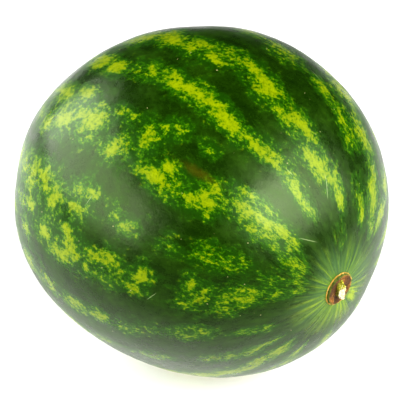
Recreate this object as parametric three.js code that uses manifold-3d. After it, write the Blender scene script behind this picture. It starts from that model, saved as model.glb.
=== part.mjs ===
// A whole watermelon lying on its flattest side, with the torn stub of its stalk at the stem end.
// Millimetres, +Z up. +X runs along the growth axis, from the blossom end to the stem end.
import * as THREE from 'three';
import { mergeVertices } from 'three/addons/utils/BufferGeometryUtils.js';
import Module from 'manifold-3d';

const wasm = await Module();
wasm.setup();

// The fruit, as three half sizes through its growth centre
const HALF_LENGTH = 122.7;
const HALF_WIDTH = 118;
const HALF_HEIGHT = 112;
// How the fruit differs from an ellipsoid, as shares of its half sizes
const STEM_END_SLIMMER = 0.0416;
const FULLER_SHOULDERS = 0.0296;
const THREE_LOBES = 0.021;
const LOBE_CREST_DEG = 37.8;
// The rind lies on a small flat, which this depth of its roundest point gives
const FLAT_DEPTH = 1;
const MERIDIANS = 72;
const PARALLELS = 40;

// Low bumps and hollows of the rind: where, how far they reach and how high they stand
const UNEVEN_SPOTS = [
  { latitude: -25, longitude: 69, reach: 20, height: -2.0 },
  { latitude: -37, longitude: 165, reach: 22, height: -2.1 },
  { latitude: -20, longitude: 190, reach: 34, height: 1.4 },
  { latitude: 8, longitude: 218, reach: 30, height: -0.9 },
  { latitude: 42, longitude: 250, reach: 30, height: 0.7 },
  { latitude: 90, longitude: 0, reach: 24, height: -1.2 },
  { latitude: -90, longitude: 0, reach: 16, height: -0.9 },
];

// The corky button that the stalk leaves on the rind
const BUTTON_RADIUS = 10.2;
const BUTTON_SUNK = 1.6;
const BUTTON_STANDS = 1.1;
const BUTTON_RIM = 1.6;
const BUTTON_DISH = 0.5;
const BUTTON_SIDES = 48;
const BUTTON_FOOT_CHAMFER = 0.8;
const BUTTON_SHOULDER = { width: 0.5, height: 0.6 };
// Its outline isn't quite round: waves of these shares of its radius
const BUTTON_WAVES = [
  { turns: 3, share: 0.02, phase: 1 },
  { turns: 7, share: 0.012, phase: 0 },
];
const BUTTON_TILT_DEG = 4;
const SEAT_GAP = 0.3;

// The stump of the stalk, broken off aslant
const STUMP_HALF_WIDTH = 3.8;
const STUMP_HALF_HEIGHT = 6;
const STUMP_RIBS = 5;
const STUMP_RIB_SHARE = 0.09;
const STUMP_RAISED = 1.6;
const STUMP_LENGTH = 3.2;
const STUMP_SLANT = 0.24;
const STUMP_TAPER = 0.2;
const STUMP_LEAN = { side: -0.3, up: -0.25 };
const STUMP_SIDES = 40;
const STUMP_STEPS = 3;

const deg = THREE.MathUtils.degToRad;

const rindMaterial = new THREE.MeshStandardMaterial({ color: 0x2f6414, roughness: 0.42, metalness: 0 });
const stalkMaterial = new THREE.MeshStandardMaterial({ color: 0xa8763a, roughness: 0.8, metalness: 0 });

// A point of the smooth rind. Latitude is +90 degrees at the stem end, and longitude turns from +Y to +Z.
function smoothRind(latitude, longitude) {
  const towardStem = Math.sin(latitude);
  const girth = Math.cos(latitude);
  const swell = 1
    - STEM_END_SLIMMER * towardStem * girth ** 2
    + FULLER_SHOULDERS * towardStem ** 2 * girth ** 2
    + THREE_LOBES * girth * Math.cos(3 * (longitude - deg(LOBE_CREST_DEG)));
  return new THREE.Vector3(
    HALF_LENGTH * towardStem,
    HALF_WIDTH * girth * Math.cos(longitude),
    HALF_HEIGHT * girth * Math.sin(longitude),
  ).multiplyScalar(swell);
}

const unevenSpots = UNEVEN_SPOTS.map((spot) => ({
  ...spot,
  centre: smoothRind(deg(spot.latitude), deg(spot.longitude)),
}));

function rindPoint(latitude, longitude) {
  const point = smoothRind(latitude, longitude);
  const outward = point.clone().normalize();
  let lift = 0;
  for (const spot of unevenSpots) {
    const distance = point.distanceTo(spot.centre);
    lift += spot.height * Math.exp(-((distance / spot.reach) ** 2));
  }
  return point.addScaledVector(outward, lift);
}

function toSolid(geometry) {
  const bare = geometry.clone();
  bare.deleteAttribute('normal');
  bare.deleteAttribute('uv');
  const merged = mergeVertices(bare);
  return new wasm.Manifold(new wasm.Mesh({
    numProp: 3,
    vertProperties: new Float32Array(merged.attributes.position.array),
    triVerts: new Uint32Array(merged.index.array),
  }));
}

function toGeometry(solid) {
  const mesh = solid.getMesh();
  const geometry = new THREE.BufferGeometry();
  geometry.setAttribute('position', new THREE.BufferAttribute(mesh.vertProperties, 3));
  geometry.setIndex(new THREE.BufferAttribute(mesh.triVerts, 1));
  geometry.computeVertexNormals();
  return geometry;
}

// Runs change(point) on every vertex
function reshape(geometry, change) {
  const position = geometry.attributes.position;
  const point = new THREE.Vector3();
  for (let i = 0; i < position.count; i += 1) {
    point.fromBufferAttribute(position, i);
    change(point);
    position.setXYZ(i, point.x, point.y, point.z);
  }
  return geometry;
}

// The rind is a sphere's net of meridians and parallels, with its poles at the fruit's two ends
function makeRind() {
  const net = new THREE.SphereGeometry(1, MERIDIANS, PARALLELS).rotateZ(-Math.PI / 2);
  return reshape(net, (point) => {
    const latitude = Math.asin(THREE.MathUtils.clamp(point.x, -1, 1));
    const longitude = Math.atan2(point.z, point.y);
    point.copy(rindPoint(latitude, longitude));
  });
}

// The button stands on the stem end, facing a little down and to +Y of the growth axis
function stemEndPlace() {
  const tilt = deg(BUTTON_TILT_DEG);
  const outward = new THREE.Vector3(
    Math.cos(tilt),
    Math.sin(tilt) * Math.SQRT1_2,
    -Math.sin(tilt) * Math.SQRT1_2,
  );
  const side = new THREE.Vector3(0, 0, 1).cross(outward).normalize();
  const up = outward.clone().cross(side);
  return new THREE.Matrix4().makeBasis(side, up, outward).setPosition(rindPoint(Math.PI / 2, 0));
}

// A round of the button's outline, turned about +Z; grow widens and deepens it for its seat in the rind
function makeButton(grow) {
  const outer = BUTTON_RADIUS + grow;
  const bottom = -BUTTON_SUNK - grow;
  const profile = [
    [0, bottom],
    [outer - BUTTON_FOOT_CHAMFER, bottom],
    [outer, bottom + BUTTON_FOOT_CHAMFER],
    [outer, BUTTON_STANDS - BUTTON_SHOULDER.height],
    [outer - BUTTON_SHOULDER.width, BUTTON_STANDS],
    [outer - BUTTON_RIM, BUTTON_STANDS],
    [outer - 2 * BUTTON_RIM, BUTTON_STANDS - BUTTON_DISH],
    [0, BUTTON_STANDS - BUTTON_DISH],
  ].map(([radius, height]) => new THREE.Vector2(radius, height));
  const button = new THREE.LatheGeometry(profile, BUTTON_SIDES).rotateX(Math.PI / 2);
  return reshape(button, (point) => {
    const angle = Math.atan2(point.y, point.x);
    let wave = 1;
    for (const { turns, share, phase } of BUTTON_WAVES) wave += share * Math.cos(turns * angle + phase);
    point.x *= wave;
    point.y *= wave;
  });
}

// The ribbed stump leans down and is longest on its lower side, where it tore last
function makeStump() {
  const outline = new THREE.Shape();
  for (let i = 0; i < STUMP_SIDES; i += 1) {
    const angle = (2 * Math.PI * i) / STUMP_SIDES;
    const rib = 1 + STUMP_RIB_SHARE * Math.cos(STUMP_RIBS * angle);
    const x = STUMP_HALF_WIDTH * rib * Math.cos(angle);
    const y = STUMP_HALF_HEIGHT * rib * Math.sin(angle);
    if (i === 0) outline.moveTo(x, y);
    else outline.lineTo(x, y);
  }
  const stump = new THREE.ExtrudeGeometry(outline, { depth: 1, steps: STUMP_STEPS, bevelEnabled: false });
  const foot = -BUTTON_SUNK / 2;
  return reshape(stump, (point) => {
    const share = point.z;
    const length = STUMP_LENGTH - STUMP_SLANT * point.y;
    const slimmer = 1 - STUMP_TAPER * share;
    point.x = point.x * slimmer + STUMP_LEAN.side * length * share;
    point.y = STUMP_RAISED + point.y * slimmer + STUMP_LEAN.up * length * share;
    point.z = foot + (length - foot) * share;
  });
}

function addPiece(group, name, geometry, material) {
  const mesh = new THREE.Mesh(geometry, material);
  mesh.name = name;
  group.add(mesh);
}

const rind = makeRind();
rind.computeBoundingBox();
const lowest = rind.boundingBox.min.z;
const ground = new THREE.BoxGeometry(4 * HALF_LENGTH, 4 * HALF_WIDTH, HALF_HEIGHT)
  .translate(0, 0, lowest + FLAT_DEPTH - HALF_HEIGHT / 2);
const place = stemEndPlace();
const seat = makeButton(SEAT_GAP).applyMatrix4(place);
const melon = toSolid(rind).subtract(toSolid(ground)).subtract(toSolid(seat));
const stub = toSolid(makeButton(0)).add(toSolid(makeStump()));

const watermelon = new THREE.Group();
addPiece(watermelon, 'melon', toGeometry(melon), rindMaterial);
addPiece(watermelon, 'stem_stub', toGeometry(stub).applyMatrix4(place), stalkMaterial);

// The flat goes to Z = 0, with the whole fruit's box centred on X and Y
const box = new THREE.Box3().setFromObject(watermelon);
const middle = box.getCenter(new THREE.Vector3());
watermelon.position.set(-middle.x, -middle.y, -box.min.z);

export default watermelon;
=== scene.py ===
"""A whole watermelon on its flattest side: mottled waxy rind, corky stem button and torn stalk stump."""
import math
import random

import bpy
import numpy as np
from mathutils import Matrix, Vector


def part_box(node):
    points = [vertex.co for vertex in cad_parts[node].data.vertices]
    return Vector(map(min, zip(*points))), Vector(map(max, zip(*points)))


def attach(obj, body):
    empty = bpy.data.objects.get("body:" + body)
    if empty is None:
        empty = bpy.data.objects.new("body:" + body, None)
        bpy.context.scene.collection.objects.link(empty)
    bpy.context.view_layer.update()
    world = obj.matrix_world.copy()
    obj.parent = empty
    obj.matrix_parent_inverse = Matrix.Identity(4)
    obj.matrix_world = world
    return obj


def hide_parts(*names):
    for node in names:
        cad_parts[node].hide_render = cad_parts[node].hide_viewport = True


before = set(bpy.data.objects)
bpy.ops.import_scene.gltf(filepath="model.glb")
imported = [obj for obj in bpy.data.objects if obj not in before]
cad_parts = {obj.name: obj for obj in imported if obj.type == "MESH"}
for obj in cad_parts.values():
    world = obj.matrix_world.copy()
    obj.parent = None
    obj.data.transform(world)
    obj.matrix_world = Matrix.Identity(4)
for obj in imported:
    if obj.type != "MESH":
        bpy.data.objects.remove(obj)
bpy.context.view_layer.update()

MM = 0.001

# The fruit's half sizes along and across its growth axis, which place latitude and longitude on the rind
HALF_LENGTH = 122.7 * MM
HALF_WIDTH = 118 * MM
HALF_HEIGHT = 112 * MM
# The growth centre lies a little off the middle of the melon's box
CENTRE_OFFSET = Vector((0.3, 1.1, 1.6)) * MM

melon_low, melon_high = (Vector(corner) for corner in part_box("melon"))
growth_centre = (melon_low + melon_high) / 2 + CENTRE_OFFSET


# ---------------------------------------------------------------- camera and light

CAMERA_AZIMUTH = 48.93
CAMERA_ELEVATION = 34.36
CAMERA_DISTANCE = 0.767
LENS = 105.3
SENSOR = 36
# The fruit sits a little right of and below the middle of the view
AIM_LEFT = 2.4 * MM
AIM_UP = 0.8 * MM
# Each softbox's azimuth and elevation, its distance, width and height in metres, and how bright it looks
SOFTBOXES = {
    "right_softbox": (116, 31, 1.3, 1.3, 0.95, 4.8),
    "right_softbox_core": (99, 36, 1.25, 0.7, 0.6, 7.0),
    "left_softbox": (-38, 28, 1.3, 2.8, 0.95, 5.3),
}


def direction(azimuth, elevation):
    """The unit vector from the fruit out to that azimuth (0 looks along +Y) and elevation, in degrees."""
    turn, rise = math.radians(azimuth), math.radians(elevation)
    return Vector((math.sin(turn) * math.cos(rise), -math.cos(turn) * math.cos(rise), math.sin(rise)))


def look_from(thing, place, target):
    thing.location = place
    thing.rotation_euler = (target - place).to_track_quat("-Z", "Y").to_euler()


def make_camera():
    back = direction(CAMERA_AZIMUTH, CAMERA_ELEVATION)
    right = Vector((0, 0, 1)).cross(back).normalized()
    up = back.cross(right)
    aim = growth_centre - right * AIM_LEFT + up * AIM_UP
    lens = bpy.data.cameras.new("camera")
    lens.lens = LENS
    lens.sensor_width = SENSOR
    lens.clip_start = 10 * MM
    camera = bpy.data.objects.new("camera", lens)
    bpy.context.collection.objects.link(camera)
    look_from(camera, aim + back * CAMERA_DISTANCE, aim)
    bpy.context.scene.camera = camera


def make_softbox(name, azimuth, elevation, distance, width, height, radiance):
    """A large even panel of light facing the fruit. Its power follows from how bright the panel looks."""
    lamp = bpy.data.lights.new(name, "AREA")
    lamp.shape = "RECTANGLE"
    lamp.size = width
    lamp.size_y = height
    lamp.energy = radiance * math.pi * width * height
    panel = bpy.data.objects.new(name, lamp)
    bpy.context.collection.objects.link(panel)
    look_from(panel, growth_centre + direction(azimuth, elevation) * distance, growth_centre)


# ---------------------------------------------------------------- small helpers

def srgb(hex_colour, alpha=1.0):
    """An sRGB hex colour as linear RGBA."""
    channels = [int(hex_colour[i:i + 2], 16) / 255 for i in (1, 3, 5)]
    linear = [c / 12.92 if c <= 0.04045 else ((c + 0.055) / 1.055) ** 2.4 for c in channels]
    return (*linear, alpha)


def per_metre(size_mm):
    """A texture's scale for features of this size."""
    return 1000 / size_mm


def node(tree, kind, *values, output=0, stops=(), **named):
    """Adds a node and gives back one of its outputs.

    The values go to its inputs in order. A name with a capital is an input too, with _ for a space, and any
    other name is one of the node's settings. The stops are a colour ramp's, as (place, hex colour)."""
    made = tree.nodes.new("ShaderNode" + kind)
    inputs = dict(enumerate(values))
    for name, value in named.items():
        if name[0].isupper():
            inputs[name.replace("_", " ")] = value
        else:
            setattr(made, name, value)
    for name, value in inputs.items():
        if isinstance(value, bpy.types.NodeSocket):
            tree.links.new(value, made.inputs[name])
        else:
            made.inputs[name].default_value = value
    if stops:
        set_stops(made.color_ramp.elements, stops)
    return made.outputs[output] if made.outputs else None


def new_material(name):
    material = bpy.data.materials.new(name)
    material.use_nodes = True
    tree = material.node_tree
    tree.nodes.clear()
    return material, tree


def set_stops(elements, stops):
    """Gives a new colour ramp its stops instead of the two that it starts with."""
    elements.remove(elements[-1])
    elements[0].position, elements[0].color = stops[0][0], srgb(stops[0][1])
    for place, colour in stops[1:]:
        elements.new(place).color = srgb(colour)


def deselect_all():
    if bpy.context.mode != "OBJECT":
        bpy.ops.object.mode_set(mode="OBJECT")
    bpy.ops.object.select_all(action="DESELECT")


def apply_modifiers(piece):
    deselect_all()
    piece.select_set(True)
    bpy.context.view_layer.objects.active = piece
    for name in [modifier.name for modifier in piece.modifiers]:
        bpy.ops.object.modifier_apply(modifier=name)


# ---------------------------------------------------------------- where the stripes and patches lie

# Each stripe runs from the stem end to the blossom end. A patch is where the yellow-green breaks through:
# (longitude, latitude, half width, half length), all in degrees, and how solid the yellow is.
STRIPES = [
    [(44.5, 63, 4, 5, .75), (47, 58, 4, 3.5, 1), (46, 52, 4, 3, .5), (47, 44, 3.5, 3, .6),
     (51, 41, 3.5, 3, .95), (49.5, 36, 4, 3, .6), (48, 24, 5, 4.5, .9), (46.5, 15, 4, 4, .7),
     (39, 70, 4, 3, .4)],
    [(57, 67, 2.5, 2.5, .9), (59, 63, 3, 3, .5), (63, 60, 3, 4, .3), (61, 44.5, 3.2, 2.5, .5),
     (60.5, 37.5, 2.8, 5, .6), (61.5, 25.5, 2.8, 4.5, .75), (66, 12, 4.5, 4, .35), (63, 6, 3.5, 5, .6),
     (64, -5, 4, 5, .5)],
    [(78, 61.5, 2.6, 3.6, .95), (81, 55.5, 3, 3, .8), (85.5, 50, 4, 4, .95), (87.5, 46, 2.5, 2, .7),
     (77, 55, 3, 3, .35), (82.5, 37, 2.6, 5, 1), (87.5, 34, 2, 5, .7), (80.5, 42, 2, 1.5, .5),
     (83.5, 22.5, 2.6, 4.5, 1), (83, 14.5, 1.8, 5, 1), (87.5, 22.5, 2.5, 4, .7),
     (90.3, 5, 1.8, 3.5, .95), (86.5, 5.5, 2, 4, .35), (83, 3.5, 2, 2.5, .35), (87, -3.8, 2, 4, .85),
     (91.5, -4, 1.8, 4, .7), (91, -12, 3, 4.5, .95), (88.5, -17, 2.5, 2.5, .8), (85, -18, 3, 2, .5),
     (93, -23, 3, 3.5, .8), (96, -27, 2.5, 4, .6), (89, -27, 3, 4, .5), (84, 73, 8, 3, .3)],
    [(101.5, 61, 2.5, 2, .45), (103, 55, 2.5, 5, .8), (101, 50, 2.5, 3, .5), (102, 43, 2.5, 2.2, .8),
     (104, 37.5, 1.8, 5, .9), (101, 39.5, 1.6, 2, .4), (106.5, 30.5, 1.5, 1.5, .5),
     (105.5, 26, 2.4, 4.5, 1), (104, 20, 2, 3, .8), (104.5, 15.5, 1.8, 3.5, .85),
     (105, 10.5, 2, 3.2, .9), (106.5, 6, 2.2, 3.5, .95), (104.2, 2, 1.8, 2.2, .8),
     (108.5, -3, 1.6, 2.5, .6), (105.5, -5.5, 1.6, 2, .55), (109, -8.5, 2, 2.5, .4),
     (111, -16, 2.6, 3.2, 1), (111, -26, 3.5, 5, .9), (108.5, -31, 2, 4, .6)],
    [(117.3, 29, .9, 1.3, .8), (117.8, 18.5, 1.3, 1.8, .8), (120, 15.5, 1.5, 1.2, .7)],
    [(122, 64, 2.5, 2, .6), (128, 64.5, 3, 2, .5), (137, 66, 2.5, 3, .5), (134, 71, 5, 3, .5),
     (123, 59, 2.6, 3, 1), (125, 53, 2.2, 4.5, .95), (132.5, 58.5, 1.6, 3, .6), (128.5, 56, 2, 3, .6),
     (131, 51, 1.5, 3, .6), (119.5, 51.5, 1.3, 1.5, .8), (120.5, 46.5, 1.6, 1.5, .85),
     (126.5, 47, 2.4, 4, .75), (121.5, 43, 1.5, 1.5, .5), (126.5, 36.8, 2.4, 2, .85),
     (131.5, 36.5, 2, 3, .85), (134.5, 33, 1.8, 3, .75), (135.5, 39, 1.2, 1.2, .5),
     (136, 27.5, 2, 1.5, .5), (129.5, 23.5, 2.2, 2.8, .8), (134.5, 21.5, 2, 4.8, 1),
     (126.5, 13.2, 2.8, 1.8, .9), (123.5, 11.5, 1.5, 1.5, .6), (131.5, 8, 2.3, 2.2, .7),
     (134.3, 5.8, 2, 2.2, 1), (123, 4.5, 1.2, 1.8, .6), (124, .5, 1, 1.2, .6), (130, -4.5, 3.6, 3, 1),
     (129.5, -8, 2.5, 2.2, .95), (135.5, -5.5, 2, 3.5, .5), (123.8, -16, 2, 3.5, .9),
     (130.5, -12.5, 2, 1.5, .7), (134.5, -16.5, 3, 3.8, .9), (131.5, -18.5, 2, 1.5, .6),
     (127, -26, 3, 5, .8), (138, -23.5, 3.5, 3, .8), (126, -34, 3, 4, .7), (137, -33, 3, 4, .6)],
    [(146, 72, 5, 3, .4), (152, 64, 3, 3, .3), (147, 53, 3.2, 4, .3), (151.5, 50.5, 2.5, 2, .35),
     (151, 44, 3, 3, .3), (146.5, 46, 2.5, 3, .2), (151, 33.5, 2.5, 2, .4), (151.3, 22, 2, 2.8, .65),
     (150.5, 17.5, 1.6, 1.5, .5), (148, 7.5, 2, 2.8, .7), (149, 3, 1.6, 1.6, .7),
     (154.2, 5, 1.8, 3, .85), (155, -4, 3, 2.8, .95), (157.5, -4.5, 1.5, 1.5, .8),
     (151.5, -11, 2.8, 2.2, .9), (155, -9, 2, 1.5, .6), (152, -17.5, 3, 2.8, .8),
     (157, -17.5, 2.5, 3, .7), (154, -25, 3.5, 3.5, .6)],
    [(158, 74, 5, 3, .45), (160, 67, 1.6, 1, .6), (163, 66.8, 2, 1, .7), (162, 61, 2.5, 1.8, .55),
     (167, 58, 4.5, 3.5, .6), (167, 53.5, 3, 1.5, .55), (174, 53, 2.5, 3.5, .4), (161, 57, 2, 2, .4),
     (164.5, 47.2, 1.4, 1, .75), (162.5, 42.8, 2.2, 1.2, .7), (168, 45, 3.5, 3, .45),
     (173, 42, 1.5, 2, .5), (164.5, 29.8, 2.6, 1.8, .85), (167, 28.5, 2, 1.2, .8),
     (171, 26.5, 1.8, 3, .75), (164, 18.8, 2.4, 2.4, 1), (166.5, 22.5, 2, 1.5, .5),
     (171.5, 18.5, 1.5, 2, .4), (165.5, 13.8, 1.6, 2, .8), (170.3, 12.5, 1.2, 1, .8),
     (166.5, 6, 3, 2.5, .85), (162, 4, 1.8, 2, .7), (170.5, 3.5, 1.8, 3.5, .85), (168, 9, 2, 1.2, .6),
     (170.5, 0, 1.5, 1.2, .7), (167, -4.8, 2.4, 3, 1), (163, -5, 1.5, 1.5, .5),
     (162.5, -14, 1.8, 2.8, .85), (165, -18.5, 1.5, 1.5, .4), (172, -15.5, 2.2, 2.2, .9)],
    [(193, 65, 2.5, 1.5, .6), (191.5, 61.5, 2, 1.5, .4), (191, 58.5, 1.6, 1.6, .5),
     (186.5, 47.5, 1.5, 1.6, .6), (189.5, 47.5, 1.5, 1.6, .55), (185, 44, 1.2, 2, .5),
     (190.5, 43.5, 1.8, 1.8, .6), (187.5, 40.5, 2, 2, .4), (189, 30, 3.5, 6, .2),
     (191.5, 23.5, 2.5, 2, .35), (188.5, 16, 2, 2.5, .9), (189.5, 12.5, 1.2, 1.5, .5),
     (188.5, 6.5, 2.6, 3.8, .7), (187, -5, 3.5, 4, .6), (185, -16, 4, 4, .7)],
    [(211, 64, 2, 4, .7), (213.5, 58, 3, 4, .7), (212, 52, 3, 2.5, .5), (209.5, 46, 2.4, 3, .55),
     (207.5, 28, 2.4, 6, .5), (206, 10, 3, 5, .5)],
]
# The same stripes go on below the patches listed above, and more of them cover the rest of the fruit:
# (longitude at the top, latitude to start from, longitude at the blossom end)
STRIPES_GO_ON = [
    (45, 6, 47), (63, -14, 66), (93, -36, 90), (110, -40, 108), (131, -42, 128), (154, -33, 150),
    (168, -26, 170), (186, -25, 190), (206, -2, 209), (231, 66, 229), (250, 62, 249), (271, 64, 268),
    (291, 60, 289), (310, 66, 309), (331, 62, 328), (351, 64, 350), (369, 66, 372), (387, 64, 391),
]
# Such a stripe gets rows of patches down to this latitude
LAST_PATCHES = -78
# Its line would reach its longitude at the blossom end at this latitude
STRIPE_AIM = -84
# A row holds so many patches. The steps between rows, how far a patch strays from its place and how large it
# is are in degrees, and its yellow is so solid
ABREAST = (1, 2, 2, 3)
PATCH_STEPS = (4.5, 9)
STRAY_ACROSS = 4.5
STRAY_ALONG = 3
PATCH_HALF_WIDTHS = (1.6, 3.6)
PATCH_HALF_LENGTHS = (1.6, 4.6)
PATCH_STRENGTHS = (.35, .5, .7, .8, .95, 1)
# How sharply a patch ends, where 1 would be a long fade
PATCH_EDGE = 4

# A brownish rub: (longitude, latitude, slant) in degrees, and its length and width in mm
RUB = (125.5, 31, 5, 34, 7)
# A bright yellow-green patch beside the stem button
BRIGHT_PATCH = (315, 81, 0, 14, 9)
# Thin pale scuffs, given in the same way
SCUFFS = [
    (114.5, 67, 35, 16, .6), (85.5, 57.5, -20, 14, .6), (84, 55, -12, 9, .5),
    (100, 48, 15, 7, .5), (150, 8, 75, 8, .5), (172, 33, 50, 10, .5), (60, 20, 10, 11, .5),
]
# Random ones lie on the rest of the fruit, all of one width in mm
HIDDEN_SCUFFS = 10
HIDDEN_SCUFF_WIDTH = .55
# Marks reach this far in and out of the rind's ellipsoid, so that each shows on its own side only
MARK_DEPTH = 25 * MM
# A speck has at least a cell about this wide to itself, in mm, and is drawn a little coarser than real dust
SPECK_SPACING = 6
# The blossom scar at the end away from the stalk
SCAR_RADIUS = 4.5 * MM


def all_scuffs():
    """The listed scuffs, and random ones on the rest of the fruit."""
    rng = random.Random(7)
    hidden = []
    for _ in range(HIDDEN_SCUFFS):
        longitude = rng.uniform(210, 400)
        latitude = rng.uniform(-65, 60)
        slant = rng.uniform(-80, 80)
        length_mm = rng.uniform(7, 16)
        hidden.append((longitude, latitude, slant, length_mm, HIDDEN_SCUFF_WIDTH))
    return SCUFFS + hidden


def random_patches(longitude, top, end_longitude, rng):
    """Patches down a stripe from a latitude to the blossom end, in the same manner as the listed ones."""
    patches = []
    latitude = top
    while latitude > LAST_PATCHES:
        share = (top - latitude) / (top - STRIPE_AIM)
        middle = longitude + (end_longitude - longitude) * share
        for _ in range(rng.choice(ABREAST)):
            patches.append((
                middle + rng.uniform(-STRAY_ACROSS, STRAY_ACROSS),
                latitude + rng.uniform(-STRAY_ALONG, STRAY_ALONG),
                rng.uniform(*PATCH_HALF_WIDTHS),
                rng.uniform(*PATCH_HALF_LENGTHS),
                rng.choice(PATCH_STRENGTHS),
            ))
        latitude -= rng.uniform(*PATCH_STEPS)
    return patches


def all_patches():
    rng = random.Random(20)
    patches = [patch for stripe in STRIPES for patch in stripe]
    for longitude, top, end_longitude in STRIPES_GO_ON:
        patches += random_patches(longitude, top, end_longitude, rng)
    return patches


def cover(latitude, longitude, patches, margin, least):
    """How far each point is covered by patches, 0 to 1. The margin, in degrees, widens them, and even the
    faintest patch counts for the least share."""
    bare = np.ones_like(latitude)
    for patch_longitude, patch_latitude, half_width, half_length, strength in patches:
        across = (longitude - patch_longitude + 180) % 360 - 180
        along = latitude - patch_latitude
        reach = np.hypot(across / (half_width + margin), along / (half_length + margin))
        solid = least + (1 - least) * strength
        bare *= 1 - solid / (1 + reach ** PATCH_EDGE)
    return 1 - bare


def growth_angles(points):
    """Latitude (90 at the stem end) and longitude (0 at +Y, 90 on top) of points on the rind, in degrees."""
    x = (points[:, 0] - growth_centre.x) / HALF_LENGTH
    y = (points[:, 1] - growth_centre.y) / HALF_WIDTH
    z = (points[:, 2] - growth_centre.z) / HALF_HEIGHT
    return np.degrees(np.arctan2(x, np.hypot(y, z))), np.degrees(np.arctan2(z, y)) % 360


def store(mesh, name, values):
    """Keeps a number, or a vector, for each vertex of the mesh."""
    values = np.asarray(values, dtype=np.float32)
    kind = "FLOAT" if values.ndim == 1 else "FLOAT_VECTOR"
    attribute = mesh.attributes.new(name, kind, "POINT")
    attribute.data.foreach_set("value" if values.ndim == 1 else "vector", values.ravel())


def points_of(mesh):
    points = np.empty(len(mesh.vertices) * 3, dtype=np.float32)
    mesh.vertices.foreach_get("co", points)
    return points.reshape(-1, 3).astype(float)


# ---------------------------------------------------------------- materials

def rind_frame(longitude, latitude):
    """A point of the rind's ellipsoid, and the directions across it, along it and outward there."""
    turn, rise = math.radians(longitude), math.radians(latitude)
    toward_stem, girth = math.sin(rise), math.cos(rise)
    point = growth_centre + Vector((
        HALF_LENGTH * toward_stem,
        HALF_WIDTH * girth * math.cos(turn),
        HALF_HEIGHT * girth * math.sin(turn),
    ))
    outward = (point - growth_centre).normalized()
    across = Vector((0, -math.sin(turn), math.cos(turn)))
    across = (across - outward * across.dot(outward)).normalized()
    return point, across, outward.cross(across), outward


def mark_reach(tree, where, longitude, latitude, slant, length_mm, width_mm):
    """How far out of an oval mark on the rind a point is: 0 at its middle and 1 at its edge."""
    point, across, along, outward = rind_frame(longitude, latitude)
    axes = Matrix((across, along, outward)).transposed() @ Matrix.Rotation(math.radians(slant), 3, "Z")
    half_sizes = (width_mm / 2 * MM, length_mm / 2 * MM, MARK_DEPTH)
    inside = node(tree, "Mapping", where, Location=point, Rotation=axes.to_euler(), Scale=half_sizes,
                  vector_type="TEXTURE")
    return node(tree, "VectorMath", inside, operation="LENGTH", output="Value")


def finish_material(tree, colour, roughness, bump_height, bump_mm, **constants):
    """Ends a material: its colour, roughness and bump, with the numbers that are the same all over."""
    bump = node(tree, "Bump", Height=bump_height, Distance=bump_mm * MM, Strength=1.0)
    surface = node(tree, "BsdfPrincipled", Base_Color=colour, Roughness=roughness, Normal=bump, **constants)
    node(tree, "OutputMaterial", Surface=surface)


def striped_skin(tree, growth, cloud):
    """A dark ground, with mid green haloes and jagged yellow-green flecks where the patches are."""
    fleck = node(tree, "Attribute", attribute_name="fleck", output="Fac")
    halo = node(tree, "Attribute", attribute_name="halo", output="Fac")
    # Fractal noise from 5 mm down to well under 1 mm breaks every patch into flecks
    coarse = node(tree, "TexNoise", growth, Scale=per_metre(5), Detail=6.0, Roughness=0.72)
    fine = node(tree, "TexNoise", growth, Scale=per_metre(2.4), Detail=5.0, Roughness=0.72)
    jagged = node(tree, "Math", coarse, 2.3, -2.51, operation="MULTIPLY_ADD")
    jagged = node(tree, "Math", fine, 2.7, jagged, operation="MULTIPLY_ADD")
    jagged = node(tree, "Math", fleck, 0.86, jagged, operation="MULTIPLY_ADD")
    haze = node(tree, "TexNoise", growth, Scale=per_metre(9), Detail=6.0, Roughness=0.68)
    hazy = node(tree, "Math", haze, 1.9, -0.95, operation="MULTIPLY_ADD")
    hazy = node(tree, "Math", hazy, halo, operation="ADD")
    share = node(tree, "MapRange", hazy, 0.34, 0.86, interpolation_type="SMOOTHSTEP")
    # The dark ground is faintly cloudy, with fine mottling
    ground = node(tree, "ValToRGB", cloud, stops=[(0.32, "#102800"), (0.5, "#1A3600"), (0.68, "#2B4C04")])
    green = node(tree, "ValToRGB", jagged, stops=[
        (0.0, "#1A4200"), (0.22, "#265600"), (0.36, "#366A00"), (0.46, "#4A7400"), (0.52, "#688200"),
        (0.66, "#788C00"), (1.0, "#889A00")])
    return node(tree, "Mix", Factor=share, A=ground, B=green, data_type="RGBA", output="Result")


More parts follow.
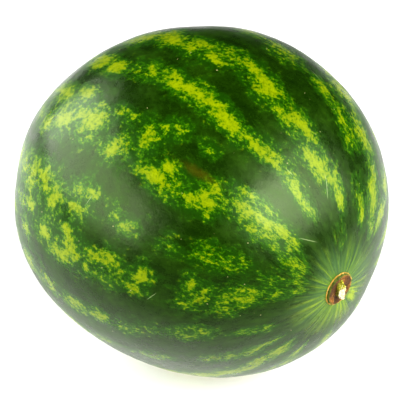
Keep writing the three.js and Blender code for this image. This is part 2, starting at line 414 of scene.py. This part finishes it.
def paler_neck(tree, where, growth, colour):
    """Round the stalk the skin is paler, with yellow-green streaks that fan out, most on the lower side."""
    neck = node(tree, "Attribute", attribute_name="neck", output="Fac")
    halo = node(tree, "Attribute", attribute_name="halo", output="Fac")
    drawn_out = node(tree, "VectorMath", growth, (1, 1, 0.2), operation="MULTIPLY")
    strand = node(tree, "TexNoise", drawn_out, Scale=per_metre(15), Detail=8.0, Roughness=0.76)
    height = node(tree, "SeparateXYZ", growth, output="Y")
    lower = node(tree, "MapRange", height, HALF_WIDTH, -HALF_WIDTH, 0.0, 0.08)
    strand = node(tree, "Math", strand, lower, operation="ADD")
    streak = node(tree, "ValToRGB", strand, stops=[
        (0.36, "#284C28"), (0.48, "#406632"), (0.57, "#648624"), (0.65, "#8CA61E"), (0.76, "#AABC24")])
    blotch = node(tree, "TexNoise", growth, Scale=per_metre(10), Detail=5.0, Roughness=0.7)
    paler = node(tree, "Math", blotch, 0.9, -0.45, operation="MULTIPLY_ADD")
    paler = node(tree, "Math", paler, neck, operation="ADD")
    # The stripes' own green holds out against it
    paler = node(tree, "Math", halo, -0.45, paler, operation="MULTIPLY_ADD")
    share = node(tree, "MapRange", paler, 0.05, 0.95, 0.0, 0.88, interpolation_type="SMOOTHSTEP")
    colour = node(tree, "Mix", Factor=share, A=colour, B=streak, data_type="RGBA", output="Result")
    # One bright patch beside the button follows the streaks
    bright = mark_reach(tree, where, *BRIGHT_PATCH)
    speckle = node(tree, "TexNoise", where, Scale=per_metre(2.5), Detail=5.0, Roughness=0.7)
    ragged = node(tree, "Math", strand, speckle, operation="ADD")
    ragged = node(tree, "Math", ragged, -2.6, 2.6, operation="MULTIPLY_ADD")
    bright = node(tree, "Math", bright, ragged, operation="ADD")
    share = node(tree, "MapRange", bright, 0.2, 1.2, 0.85, 0.0, interpolation_type="SMOOTHSTEP")
    return node(tree, "Mix", Factor=share, A=colour, B=srgb("#9AAE08"), data_type="RGBA", output="Result")


def ground_spot(tree, growth, cloud, colour):
    """Where the fruit lay on the soil it never turned green."""
    pale = node(tree, "Attribute", attribute_name="pale", output="Fac")
    edge = node(tree, "TexNoise", growth, Scale=per_metre(12), Detail=6.0, Roughness=0.7)
    bleached = node(tree, "Math", edge, 1.2, -0.6, operation="MULTIPLY_ADD")
    bleached = node(tree, "Math", bleached, pale, operation="ADD")
    share = node(tree, "MapRange", bleached, 0.35, 0.75, interpolation_type="SMOOTHSTEP")
    cream = node(tree, "ValToRGB", cloud, stops=[(0.35, "#A89A4A"), (0.5, "#C4B468"), (0.65, "#D2C686")])
    return node(tree, "Mix", Factor=share, A=colour, B=cream, data_type="RGBA", output="Result")


def wear_marks(tree, where, colour):
    """A brownish rub, thin pale scuffs, and specks of dust and sap."""
    rub = mark_reach(tree, where, *RUB)
    ragged = node(tree, "TexNoise", where, Scale=per_metre(4), Detail=5.0, Roughness=0.65)
    rub = node(tree, "Math", ragged, 1.4, rub, operation="MULTIPLY_ADD")
    share = node(tree, "MapRange", rub, 0.8, 1.9, 0.3, 0.0, interpolation_type="SMOOTHSTEP")
    colour = node(tree, "Mix", Factor=share, A=colour, B=srgb("#66580A"), data_type="RGBA", output="Result")
    scuffed = 0.0
    for scuff in all_scuffs():
        reach = mark_reach(tree, where, *scuff)
        line = node(tree, "MapRange", reach, 0.5, 1.0, 0.55, 0.0, interpolation_type="SMOOTHSTEP")
        scuffed = node(tree, "Math", scuffed, line, operation="MAXIMUM")
    colour = node(tree, "Mix", Factor=scuffed, A=colour, B=srgb("#A8B884"), data_type="RGBA", output="Result")
    # Fewer than half of the cells hold a speck, and each speck has its own size
    away = node(tree, "TexVoronoi", where, Scale=per_metre(SPECK_SPACING), output="Distance")
    chance = node(tree, "SeparateColor", away.node.outputs["Color"], output="Red")
    speck_size = node(tree, "MapRange", chance, 0.55, 1.0, 0.0, 0.085)
    speck = node(tree, "Math", away, speck_size, operation="LESS_THAN")
    speck = node(tree, "Math", speck, 0.6, operation="MULTIPLY")
    return node(tree, "Mix", Factor=speck, A=colour, B=srgb("#C8BC88"), data_type="RGBA", output="Result")


def blossom_scar(tree, where, colour):
    """The blossom fell from a small corky scar at the end away from the stalk."""
    blossom_end = growth_centre - Vector((HALF_LENGTH, 0, 0))
    inside = node(tree, "Mapping", where, Location=blossom_end, Scale=(MARK_DEPTH, SCAR_RADIUS, SCAR_RADIUS),
                  vector_type="TEXTURE")
    reach = node(tree, "VectorMath", inside, operation="LENGTH", output="Value")
    ragged = node(tree, "TexNoise", where, Scale=per_metre(2), Detail=5.0, Roughness=0.65)
    reach = node(tree, "Math", ragged, 0.8, reach, operation="MULTIPLY_ADD")
    share = node(tree, "MapRange", reach, 1.25, 1.4, 1.0, 0.0, interpolation_type="SMOOTHSTEP")
    grain = node(tree, "TexNoise", where, Scale=per_metre(1.2), Detail=5.0, Roughness=0.65)
    cork = node(tree, "ValToRGB", grain, stops=[(0.4, "#6A4A24"), (0.6, "#B09058")])
    return node(tree, "Mix", Factor=share, A=colour, B=cork, data_type="RGBA", output="Result")


def make_rind_material():
    """Waxy watermelon rind: striped green skin under a thin natural wax that makes a broad soft gloss."""
    material, tree = new_material("waxy_watermelon_rind")
    where = node(tree, "TexCoord", output="Object")
    growth = node(tree, "Attribute", attribute_name="growth", output="Vector")
    cloud = node(tree, "TexNoise", growth, Scale=per_metre(18), Detail=7.0, Roughness=0.75)
    colour = striped_skin(tree, growth, cloud)
    colour = paler_neck(tree, where, growth, colour)
    colour = ground_spot(tree, growth, cloud, colour)
    colour = wear_marks(tree, where, colour)
    colour = blossom_scar(tree, where, colour)
    # The skin is faintly pebbled, and its wax is thinner in some places than in others
    pores = node(tree, "TexNoise", where, Scale=per_metre(1.0), Detail=2.0, Roughness=0.65)
    pebbles = node(tree, "TexNoise", where, Scale=per_metre(3.5), Detail=3.0, Roughness=0.65)
    grain = node(tree, "Math", pores, 0.5, pebbles, operation="MULTIPLY_ADD")
    gloss = node(tree, "MapRange", cloud, 0.35, 0.65, 0.25, 0.34, interpolation_type="SMOOTHSTEP")
    finish_material(tree, colour, gloss, grain, 0.09, IOR=1.4, Specular_Tint=srgb("#E4FFC0"))
    return material


def make_cork_material():
    """Weathered cork: a chestnut top with dark cracks and an olive wall, dry and quite matt."""
    material, tree = new_material("weathered_cork")
    where = node(tree, "TexCoord", output="Object")
    grain = node(tree, "TexNoise", where, Scale=per_metre(1.6), Detail=6.0, Roughness=0.7)
    top = node(tree, "ValToRGB", grain, stops=[
        (0.32, "#342004"), (0.45, "#7A4C12"), (0.58, "#AA742A"), (0.72, "#CC9A48")])
    blotch = node(tree, "TexNoise", where, Scale=per_metre(9), Detail=4.0, Roughness=0.65)
    stain = node(tree, "MapRange", blotch, 0.46, 0.6, 0.75, 0.0, interpolation_type="SMOOTHSTEP")
    top = node(tree, "Mix", Factor=stain, A=top, B=srgb("#2E1C06"), data_type="RGBA", output="Result")
    olive = node(tree, "ValToRGB", grain, stops=[(0.35, "#3C4808"), (0.55, "#64721A"), (0.7, "#8E8A30")])
    wall = node(tree, "Attribute", attribute_name="wall", output="Fac")
    colour = node(tree, "Mix", Factor=wall, A=top, B=olive, data_type="RGBA", output="Result")
    finish_material(tree, colour, 0.82, grain, 0.3)
    return material


def make_lip_material():
    """Fresh thin cork, golden tan and matt, where the skin split away from the button."""
    material, tree = new_material("fresh_cork")
    where = node(tree, "TexCoord", output="Object")
    grain = node(tree, "TexNoise", where, Scale=per_metre(1.1), Detail=5.0, Roughness=0.7)
    tan = node(tree, "ValToRGB", grain, stops=[(0.32, "#A8741E"), (0.5, "#DCA640"), (0.68, "#F0CC7C")])
    finish_material(tree, tan, 0.8, grain, 0.2)
    return material


def make_stalk_material():
    """Torn green stalk: yellow-green skin above, and a pale fibrous break with dark pits below."""
    material, tree = new_material("torn_green_stalk")
    where = node(tree, "TexCoord", output="Object")
    grain = node(tree, "TexNoise", where, Scale=per_metre(1.0), Detail=6.0, Roughness=0.72)
    skin = node(tree, "ValToRGB", grain, stops=[
        (0.3, "#3E3A04"), (0.45, "#7A8410"), (0.58, "#B4AC20"), (0.72, "#DCC43C")])
    flesh = node(tree, "ValToRGB", grain, stops=[
        (0.3, "#B08E2C"), (0.42, "#E4CE7A"), (0.55, "#F4EBCC"), (0.75, "#FCF9EE")])
    torn = node(tree, "Attribute", attribute_name="torn", output="Fac")
    opened = node(tree, "Math", grain, 0.9, torn, operation="MULTIPLY_ADD")
    share = node(tree, "MapRange", opened, 0.8, 1.1, interpolation_type="SMOOTHSTEP")
    colour = node(tree, "Mix", Factor=share, A=skin, B=flesh, data_type="RGBA", output="Result")
    pits = node(tree, "TexVoronoi", where, Scale=per_metre(2.2), output="Distance")
    share = node(tree, "MapRange", pits, 0.14, 0.28, 0.85, 0.0, interpolation_type="SMOOTHSTEP")
    colour = node(tree, "Mix", Factor=share, A=colour, B=srgb("#3A2806"), data_type="RGBA", output="Result")
    finish_material(tree, colour, 0.72, grain, 0.25)
    return material


# ---------------------------------------------------------------- the fruit

RIND_SEGMENTS = 100
RIND_RINGS = 56
# The rind is closed over within this distance of the growth axis, and keeps the curve that it has from there
# out to so many times as far
SEAT_REACH = 12.6 * MM
CURVE_REACH = 2.2
# Its low unevenness, as sizes and heights in mm
RIND_UNEVENNESS = [(40, 0.9), (12, 0.25)]
# Haloes reach this far past their patches, in degrees, and even the faintest patch has one this full
HALO_MARGIN = 2.4
FAINTEST_HALO = 0.5
# The paler skin round the stalk starts and is full at these latitudes
NECK_STARTS = 66
NECK_FULL = 86
# The ground spot is a little longer than it is wide, and ends more sharply than a patch
GROUND_SPOT_RADIUS = 46 * MM
GROUND_SPOT_LONGER = 1.15
GROUND_SPOT_EDGE = 6


def shape_target():
    """A merged copy of the CAD melon to shape the rind on."""
    deselect_all()
    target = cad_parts["melon"].copy()
    target.data = target.data.copy()
    target.name = "shape_target"
    bpy.context.collection.objects.link(target)
    target.hide_set(False)
    target.select_set(True)
    bpy.context.view_layer.objects.active = target
    bpy.ops.object.mode_set(mode="EDIT")
    bpy.ops.mesh.select_all(action="SELECT")
    bpy.ops.mesh.remove_doubles(threshold=0.01 * MM)
    bpy.ops.object.mode_set(mode="OBJECT")
    return target


def put_points(mesh, points):
    mesh.vertices.foreach_set("co", points.astype(np.float32).ravel())
    mesh.update()


def close_over_seat(mesh):
    """Carries the rind smoothly across the stem button's seat, which the button covers."""
    points = points_of(mesh)
    reach = np.hypot(points[:, 1] - growth_centre.y, points[:, 2] - growth_centre.z)
    stem_end = points[:, 0] > growth_centre.x
    around = stem_end & (reach > SEAT_REACH) & (reach < CURVE_REACH * SEAT_REACH)
    slope, middle = np.polyfit(reach[around] ** 2, points[around, 0], 1)
    inside = stem_end & (reach <= SEAT_REACH)
    points[inside, 0] = middle + slope * reach[inside] ** 2
    put_points(mesh, points)


def add_unevenness(piece, size_mm, height_mm, kind="CLOUDS", group=""):
    """Displaces a piece by a noise of that size and height, in mm."""
    texture = bpy.data.textures.new(f"{piece.name}_{size_mm}", kind)
    texture.noise_scale = size_mm * MM
    uneven = piece.modifiers.new(f"uneven_{size_mm}", "DISPLACE")
    uneven.texture = texture
    uneven.texture_coords = "LOCAL"
    uneven.strength = height_mm * MM
    uneven.mid_level = 0.5
    uneven.vertex_group = group


def refine(piece, levels):
    finer = piece.modifiers.new("finer", "SUBSURF")
    finer.levels = finer.render_levels = levels


def make_melon():
    deselect_all()
    bpy.ops.mesh.primitive_uv_sphere_add(segments=RIND_SEGMENTS, ring_count=RIND_RINGS, radius=1)
    melon = bpy.context.object
    melon.name = "melon_rind"
    # The sphere's poles become the stem end and the blossom end
    melon.matrix_world = (Matrix.Translation(growth_centre)
                          @ Matrix.Diagonal((HALF_LENGTH, HALF_WIDTH, HALF_HEIGHT, 1))
                          @ Matrix.Rotation(math.pi / 2, 4, "Y"))
    bpy.ops.object.transform_apply(location=True, rotation=True, scale=True)
    target = shape_target()
    wrap = melon.modifiers.new("wrap", "SHRINKWRAP")
    wrap.target = target
    wrap.wrap_method = "NEAREST_SURFACEPOINT"
    apply_modifiers(melon)
    bpy.data.objects.remove(target)
    close_over_seat(melon.data)
    relax = melon.modifiers.new("relax", "SMOOTH")
    relax.factor = 0.5
    relax.iterations = 3
    refine(melon, 2)
    for size_mm, height_mm in RIND_UNEVENNESS:
        add_unevenness(melon, size_mm, height_mm)
    apply_modifiers(melon)
    # It still lies flat on the ground
    points = points_of(melon.data)
    points[:, 2] = np.maximum(points[:, 2], 0)
    put_points(melon.data, points)
    bpy.ops.object.shade_smooth()
    return melon


def mark_rind(melon):
    """Stores on the rind where its patches, haloes, stem end and ground spot are."""
    mesh = melon.data
    points = points_of(mesh)
    latitude, longitude = growth_angles(points)
    patches = all_patches()
    turn = np.radians(longitude)
    growth = np.stack([np.cos(turn), np.sin(turn), np.radians(latitude)], axis=1) * HALF_WIDTH
    store(mesh, "growth", growth)
    store(mesh, "fleck", cover(latitude, longitude, patches, 0, 0))
    store(mesh, "halo", cover(latitude, longitude, patches, HALO_MARGIN, FAINTEST_HALO))
    store(mesh, "neck", np.clip((latitude - NECK_STARTS) / (NECK_FULL - NECK_STARTS), 0, 1))
    along = (points[:, 0] - growth_centre.x) / GROUND_SPOT_LONGER
    across = points[:, 1] - growth_centre.y
    beside = np.hypot(along, across) / GROUND_SPOT_RADIUS
    under = points[:, 2] < growth_centre.z
    store(mesh, "pale", np.where(under, 1 / (1 + beside ** GROUND_SPOT_EDGE), 0))


# ---------------------------------------------------------------- the stem end

# The stem button and stump, in their own frame: X to the side, Y up, Z out of the rind
BUTTON_RADIUS = 10.2 * MM
BUTTON_SUNK = 1.6 * MM
BUTTON_STANDS = 1.1 * MM
BUTTON_RIM = 1.6 * MM
BUTTON_DISH = 0.5 * MM
BUTTON_SHOULDER = 0.4 * MM
BUTTON_TILT = math.radians(4)
BUTTON_SIDES = 96
EASED_EDGE = 0.8 * MM
# Its outline isn't quite round: waves of (turns, share of its radius, phase)
BUTTON_WAVES = [(3, 0.02, 1), (7, 0.012, 0)]
# Its olive wall starts and is full at these shares of its radius
WALL_STARTS = 0.93
WALL_FULL = 0.98
STUMP_HALF_WIDTH = 3.8 * MM
STUMP_HALF_HEIGHT = 6 * MM
STUMP_RIBS = 5
STUMP_RIB_SHARE = 0.09
STUMP_RAISED = 1.6 * MM
STUMP_LENGTH = 3.2 * MM
STUMP_SLANT = 0.24
STUMP_LEAN_SIDE = 0.3
STUMP_LEAN_DOWN = 0.25
STUMP_TAPER = 0.2
STUMP_SIDES = 60
STUMP_STEPS = 10
# The stump is torn from this share of its length up
TORN_FROM = 0.75
FIBRES = 26
FIBRE_TIP = 0.04 * MM
LIP_RADIUS = 10.5 * MM
LIP_THICKNESS = 0.75 * MM
# The skin beside the button lies this far under the middle of the stem end
SKIN_FALLS = 0.35 * MM
# Flat faces are filled by rings, each smaller than the one outside it by this share of the whole
FILL_RINGS = 7
FILL_STEP = 0.12


def stem_place(tilt):
    """The stem end's own frame: at the end of the growth axis, facing a little down and to +Y by the tilt."""
    aside = math.sin(tilt) * math.sqrt(0.5)
    outward = Vector((math.cos(tilt), aside, -aside))
    side = Vector((0, 0, 1)).cross(outward).normalized()
    up = outward.cross(side)
    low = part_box("stem_stub")[0][0]
    skin = low + BUTTON_SUNK * math.cos(BUTTON_TILT) + (BUTTON_RADIUS - EASED_EDGE) * math.sin(BUTTON_TILT)
    turned = Matrix((side, up, outward)).transposed().to_4x4()
    return Matrix.Translation((skin, growth_centre.y, growth_centre.z)) @ turned


def put_in_place(piece, place):
    deselect_all()
    piece.select_set(True)
    bpy.context.view_layer.objects.active = piece
    piece.matrix_world = place
    bpy.ops.object.transform_apply(location=True, rotation=True, scale=True)
    bpy.ops.object.shade_smooth()


def raise_rings(name, sides, rings):
    """A closed round piece: a disc pulled up ring by ring, each ring given as (radius, height)."""
    deselect_all()
    radius, height = rings[0]
    bpy.ops.mesh.primitive_circle_add(vertices=sides, radius=radius, fill_type="NGON",
                                      location=(0, 0, height))
    piece = bpy.context.object
    piece.name = name
    bpy.ops.object.transform_apply(location=True, rotation=True, scale=True)
    bpy.ops.object.mode_set(mode="EDIT")
    bpy.ops.mesh.select_mode(type="FACE")
    bpy.ops.mesh.select_all(action="SELECT")
    for next_radius, next_height in rings[1:]:
        share = next_radius / radius
        bpy.ops.mesh.extrude_region_move(TRANSFORM_OT_translate={"value": (0, 0, next_height - height)})
        bpy.ops.transform.resize(value=(share, share, 1), center_override=(0, 0, next_height))
        radius, height = next_radius, next_height
    bpy.ops.mesh.poke()
    bpy.ops.mesh.select_all(action="SELECT")
    bpy.ops.mesh.normals_make_consistent(inside=False)
    bpy.ops.object.mode_set(mode="OBJECT")
    return piece


def fill_shares(first):
    """The sizes of the rings that fill a flat face, from its outermost one inward."""
    return [first - FILL_STEP * ring for ring in range(FILL_RINGS)]


def make_button():
    """The cork button: a wall with eased edges, a raised rim and a dished top, rough all over."""
    top = BUTTON_STANDS
    dished = top - BUTTON_DISH
    inner = BUTTON_RADIUS - 2 * BUTTON_RIM
    rings = [
        (BUTTON_RADIUS - EASED_EDGE, -BUTTON_SUNK),
        (BUTTON_RADIUS, EASED_EDGE - BUTTON_SUNK),
        (BUTTON_RADIUS, 0),
        (BUTTON_RADIUS, top - BUTTON_SHOULDER),
        (BUTTON_RADIUS - BUTTON_SHOULDER, top),
        (BUTTON_RADIUS - BUTTON_RIM, top),
        (inner, dished),
    ]
    rings += [(inner * share, dished) for share in fill_shares(0.88)]
    button = raise_rings("stem_button", BUTTON_SIDES, rings)
    points = points_of(button.data)
    angle = np.arctan2(points[:, 1], points[:, 0])
    wave = 1 + sum(share * np.cos(turns * angle + phase) for turns, share, phase in BUTTON_WAVES)
    points[:, :2] *= wave[:, None]
    put_points(button.data, points)
    refine(button, 2)
    add_unevenness(button, 3.0, 0.7, "STUCCI")
    add_unevenness(button, 1.0, 0.35)
    apply_modifiers(button)
    points = points_of(button.data)
    out = np.hypot(points[:, 0], points[:, 1]) / BUTTON_RADIUS
    store(button.data, "wall", np.clip((out - WALL_STARTS) / (WALL_FULL - WALL_STARTS), 0, 1))
    put_in_place(button, stem_place(BUTTON_TILT))
    return button


def make_lip():
    """The ragged edge where the skin parted from the button; it follows the skin, not the button's tilt."""
    deselect_all()
    bpy.ops.mesh.primitive_torus_add(major_segments=160, minor_segments=12, major_radius=LIP_RADIUS,
                                     minor_radius=LIP_THICKNESS / 2, location=(0, 0, -SKIN_FALLS))
    lip = bpy.context.object
    lip.name = "cork_lip"
    bpy.ops.object.transform_apply(location=True, rotation=True, scale=True)
    refine(lip, 1)
    add_unevenness(lip, 2.2, 0.7)
    add_unevenness(lip, 0.8, 0.3)
    apply_modifiers(lip)
    put_in_place(lip, stem_place(0))
    return lip


def stump_point(x, y, share):
    """Where a point of the stump's outline lies, at that share of the way from its foot to the break."""
    length = STUMP_LENGTH - STUMP_SLANT * y
    foot = -BUTTON_SUNK / 2
    slimmer = 1 - STUMP_TAPER * share
    return (
        x * slimmer - STUMP_LEAN_SIDE * length * share,
        y * slimmer - STUMP_LEAN_DOWN * length * share + STUMP_RAISED,
        foot + (length - foot) * share,
    )


def make_stump():
    """The ribbed stump leans down, and is longest on its lower side, where it tore last."""
    rise = [(1, step / STUMP_STEPS) for step in range(STUMP_STEPS + 1)]
    face = [(share, 1) for share in fill_shares(0.9)]
    rings = [(radius * MM, height * MM) for radius, height in rise + face]
    stump = raise_rings("stalk_stump", STUMP_SIDES, rings)
    x, y, share = points_of(stump.data).T / MM
    rib = 1 + STUMP_RIB_SHARE * np.cos(STUMP_RIBS * np.arctan2(y, x))
    x = x * STUMP_HALF_WIDTH * rib
    y = y * STUMP_HALF_HEIGHT * rib
    put_points(stump.data, np.stack(stump_point(x, y, share), axis=1))
    torn = np.clip((share - TORN_FROM) / (1 - TORN_FROM), 0, 1)
    group = stump.vertex_groups.new(name="torn_face")
    for index, weight in enumerate(torn):
        group.add([index], float(weight), "REPLACE")
    # The pale flesh shows on the lower part of the break, and the skin is yellow-green above
    upper = np.clip(y / STUMP_HALF_HEIGHT, -1, 1)
    store(stump.data, "torn", np.clip(torn * (0.7 - 0.9 * upper) - 0.1 * upper, 0, 1))
    refine(stump, 2)
    add_unevenness(stump, 1.6, 1.6, "STUCCI", "torn_face")
    add_unevenness(stump, 0.8, 0.5, "CLOUDS", "torn_face")
    add_unevenness(stump, 1.3, 0.35)
    apply_modifiers(stump)
    put_in_place(stump, stem_place(BUTTON_TILT))
    return stump


def make_fibres():
    """Torn strands that stand out of the broken face."""
    rng = random.Random(3)
    strands = []
    for _ in range(FIBRES):
        turn = rng.uniform(0, 2 * math.pi)
        out = rng.uniform(0.35, 0.95)
        x = out * STUMP_HALF_WIDTH * math.cos(turn)
        y = out * STUMP_HALF_HEIGHT * math.sin(turn)
        thickness = rng.uniform(0.16, 0.3) * MM
        length = rng.uniform(0.9, 2.0) * MM
        lean = (rng.uniform(0, 0.9), rng.uniform(-0.7, 0.5), 0)
        deselect_all()
        bpy.ops.mesh.primitive_cone_add(
            vertices=6, radius1=thickness, radius2=FIBRE_TIP, depth=length,
            location=stump_point(x, y, 1), rotation=lean)
        strands.append(bpy.context.object)
    deselect_all()
    for strand in strands:
        strand.select_set(True)
    bpy.context.view_layer.objects.active = strands[0]
    bpy.ops.object.join()
    fibres = bpy.context.object
    fibres.name = "torn_fibres"
    bpy.ops.object.transform_apply(location=True, rotation=True, scale=True)
    refine(fibres, 1)
    apply_modifiers(fibres)
    store(fibres.data, "torn", np.ones(len(fibres.data.vertices)))
    put_in_place(fibres, stem_place(BUTTON_TILT))
    return fibres


# ---------------------------------------------------------------- floor and world

# The paper lies a hair under the flat that the fruit rests on, so that the two don't share a plane
FLOOR_GAP = 0.05 * MM
FLOOR_SIZE = 30
# The paper is white and glows a little behind and under the fruit, and turns grey between these distances
# in front of it, in metres, so that it doesn't haze the fruit's gloss
FLOOR_GLOW = 0.08
FLOOR_GREYS = (0.1, 0.32)
# Far off it glows like the horizon, so that the two meet without an edge
FLOOR_FADES = (0.6, 1.6)
FAR_GLOW = 0.15


def make_floor():
    """Matt white paper under the fruit and behind it, which turns grey in front of it."""
    material, tree = new_material("white_paper_sweep")
    where = node(tree, "TexCoord", output="Object")
    front = direction(CAMERA_AZIMUTH, 0)
    ahead = node(tree, "VectorMath", where, front, operation="DOT_PRODUCT", output="Value")
    grey_share = node(tree, "MapRange", ahead, *FLOOR_GREYS, interpolation_type="SMOOTHSTEP")
    paper = node(tree, "Mix", Factor=grey_share, A=srgb("#F6F6F4"), B=srgb("#8C8C8A"), data_type="RGBA",
                 output="Result")
    glow = node(tree, "MapRange", grey_share, 0.0, 1.0, FLOOR_GLOW, 0.0)
    away = node(tree, "VectorMath", where, operation="LENGTH", output="Value")
    glow = node(tree, "MapRange", away, *FLOOR_FADES, glow, FAR_GLOW, interpolation_type="SMOOTHSTEP")
    surface = node(tree, "BsdfPrincipled", Base_Color=paper, Roughness=0.9,
                   Emission_Color=srgb("#FFFEFA"), Emission_Strength=glow)
    node(tree, "OutputMaterial", Surface=surface)
    deselect_all()
    bpy.ops.mesh.primitive_plane_add(size=FLOOR_SIZE, location=(0, 0, -FLOOR_GAP))
    floor = bpy.context.object
    floor.name = "floor"
    floor.data.materials.append(material)


def make_world():
    """A plain studio: mid grey at the horizon and dim overhead."""
    world = bpy.data.worlds.new("studio")
    world.use_nodes = True
    tree = world.node_tree
    tree.nodes.clear()
    where = node(tree, "TexCoord", output="Generated")
    height = node(tree, "SeparateXYZ", where, output="Z")
    sky = node(tree, "ValToRGB", height, stops=[
        (0.0, "#686868"), (0.05, "#484848"), (0.14, "#303030"), (0.35, "#242424"), (1.0, "#202020")])
    background = node(tree, "Background", Color=sky, Strength=1.0)
    node(tree, "OutputWorld", Surface=background)
    bpy.context.scene.world = world


# ---------------------------------------------------------------- putting it together

make_camera()
for softbox, panel in SOFTBOXES.items():
    make_softbox(softbox, *panel)
make_floor()
make_world()
bpy.context.scene.view_settings.view_transform = "Standard"
bpy.context.scene.view_settings.look = "Medium High Contrast"

rind = make_melon()
mark_rind(rind)
stalk_material = make_stalk_material()
finished = [
    (rind, make_rind_material(), "rind", "melon"),
    (make_button(), make_cork_material(), "stalk", "stem_stub"),
    (make_lip(), make_lip_material(), "stalk", "stem_stub"),
    (make_stump(), stalk_material, "stalk", "stem_stub"),
    (make_fibres(), stalk_material, "stalk", "stem_stub"),
]
for piece, material, slot, cad_node in finished:
    piece.data.materials.clear()
    piece.data.materials.append(material)
    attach(piece, "root")
    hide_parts(cad_node)
